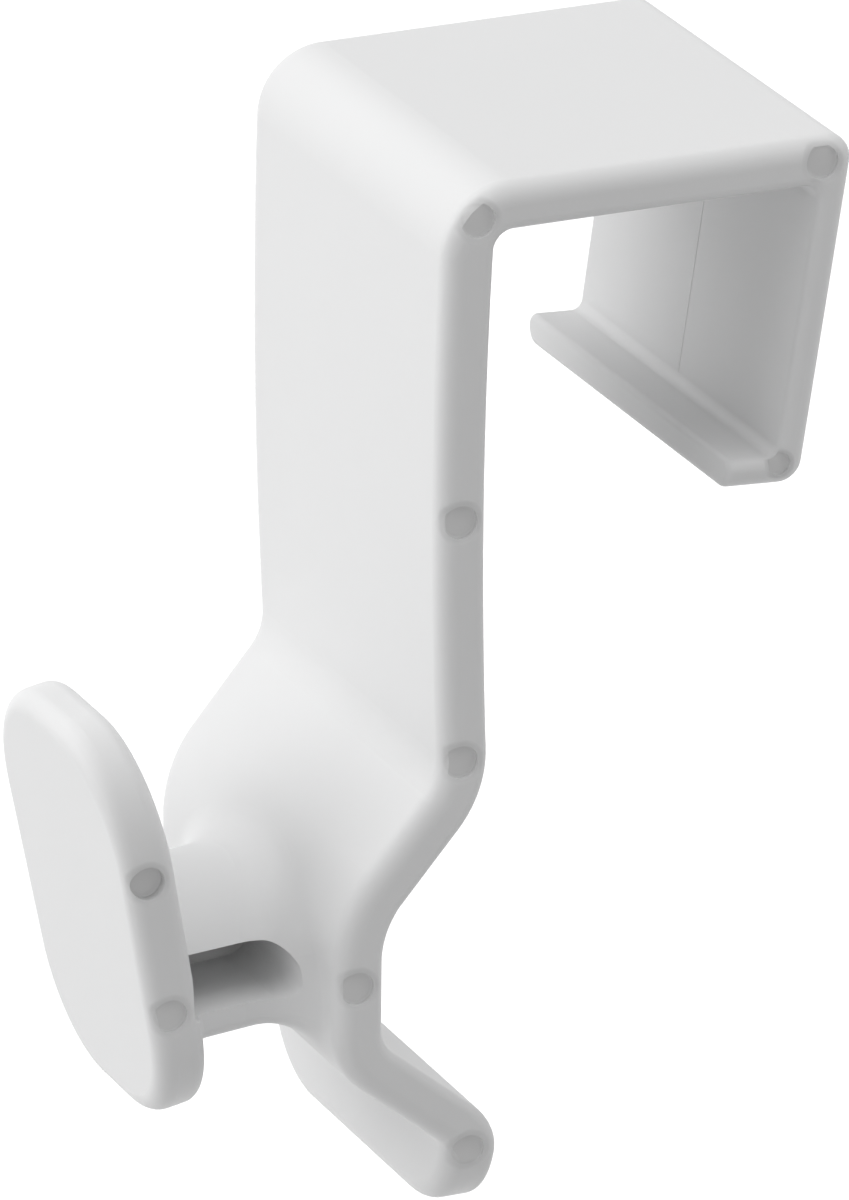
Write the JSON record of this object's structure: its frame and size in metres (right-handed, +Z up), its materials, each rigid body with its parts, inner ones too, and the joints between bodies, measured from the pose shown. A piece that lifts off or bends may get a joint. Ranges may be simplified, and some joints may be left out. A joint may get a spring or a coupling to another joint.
{
  "type": "window hook",
  "caption": "One-piece moulded plastic hook: a square clip that hooks over a window sash or frame, with an S-bent strap that carries an oval hanging plate on a short stem.",
  "frame": {"origin": "middle of the flat underside of the clip's top, where it rests on the sash", "axes": "+Z up, +X toward the window side where the leg and lip are, +Y along the hook's width"},
  "size_m": [0.0438, 0.028, 0.0633],
  "materials": {
    "white_plastic": "satin"
  },
  "bodies": {
    "root": {"window_hook": "white_plastic"}
  },
  "joints": []
}
